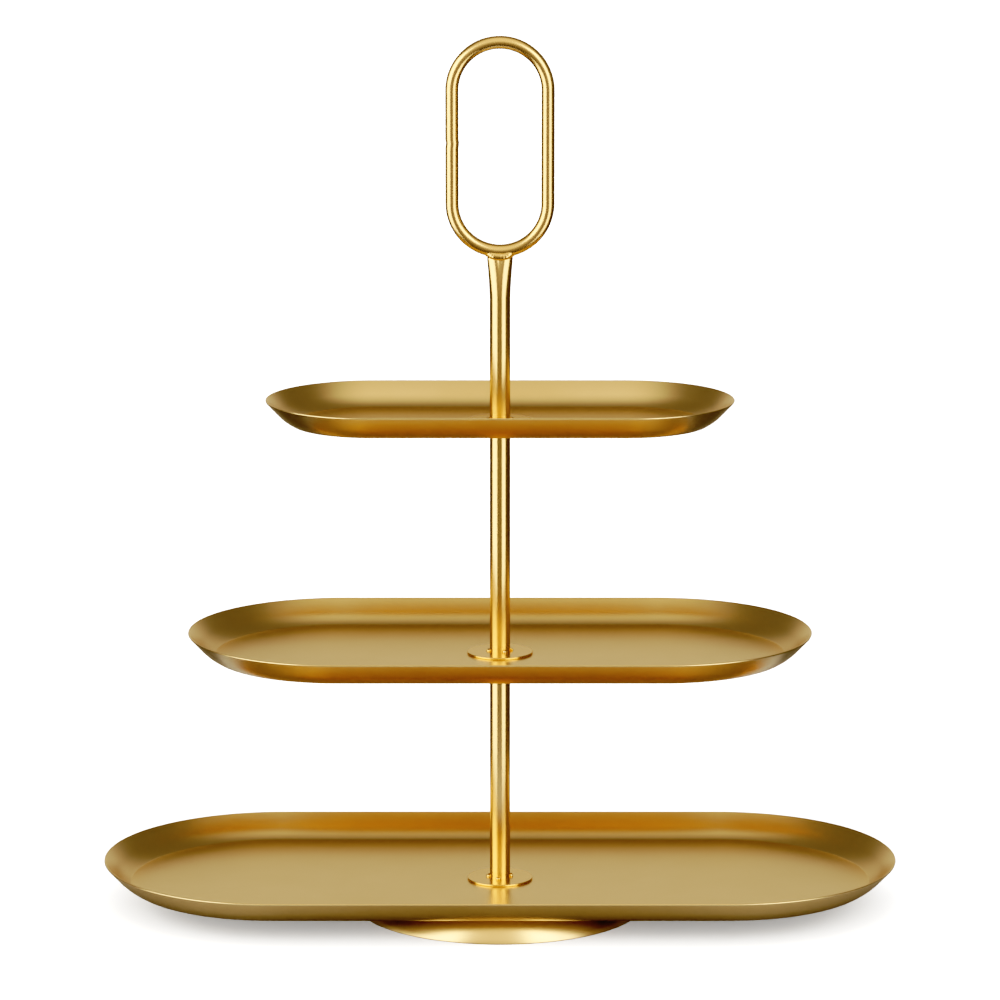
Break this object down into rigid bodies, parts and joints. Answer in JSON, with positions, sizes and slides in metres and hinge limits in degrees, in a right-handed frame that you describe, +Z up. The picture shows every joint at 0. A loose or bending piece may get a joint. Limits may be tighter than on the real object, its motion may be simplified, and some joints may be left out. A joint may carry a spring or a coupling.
{
  "type": "tiered cake stand",
  "caption": "Tiered serving stand: oval pressed trays with flared walls on a slim screwed tube stem, a round pressed foot, and a long wire carrying loop on top.",
  "frame": {"origin": "on the table, at the foot of the stem's axis, in the middle of the foot", "axes": "+Z up the stem, +X along the trays' length, +Y across them"},
  "size_m": [0.3724, 0.1618, 0.4103],
  "materials": {
    "gold_sheet": "satin gold over pressed sheet steel",
    "gold_disc": "satin gold over punched sheet steel",
    "gold_tube": "satin gold over drawn steel tube",
    "gold_wire": "satin gold over bent steel wire",
    "gold_weld": "satin gold over an unground weld",
    "zinc_steel": "bright zinc on turned steel"
  },
  "bodies": {
    "stem": {"foot": "gold_sheet", "foot_washer": "zinc_steel", "foot_nut": "zinc_steel", "lower_disc": "gold_disc", "middle_disc": "gold_disc", "upper_disc": "gold_disc", "lower_tube": "gold_tube", "middle_tube": "gold_tube", "upper_tube": "gold_tube", "lower_tack_welds": "gold_weld", "middle_tack_welds": "gold_weld", "upper_tack_welds": "gold_weld", "lower_stud": "zinc_steel", "middle_stud": "zinc_steel", "upper_stud": "zinc_steel", "lower_insert": "zinc_steel", "middle_insert": "zinc_steel", "carrying_loop": "gold_wire", "loop_weld": "gold_weld"},
    "bottom_tray": {"bottom_tray": "gold_sheet"},
    "middle_tray": {"middle_tray": "gold_sheet"},
    "top_tray": {"top_tray": "gold_sheet"}
  },
  "joints": [
    {"name": "bottom_tray_turn", "type": "hinge", "parent": "stem", "child": "bottom_tray", "pos_m": [0, 0, 0.0121], "axis": [0, 0, 1], "continuous": true},
    {"name": "middle_tray_turn", "type": "hinge", "parent": "stem", "child": "middle_tray", "pos_m": [0, 0, 0.1213], "axis": [0, 0, 1], "continuous": true},
    {"name": "top_tray_turn", "type": "hinge", "parent": "stem", "child": "top_tray", "pos_m": [0, 0, 0.2311], "axis": [0, 0, 1], "continuous": true}
  ]
}
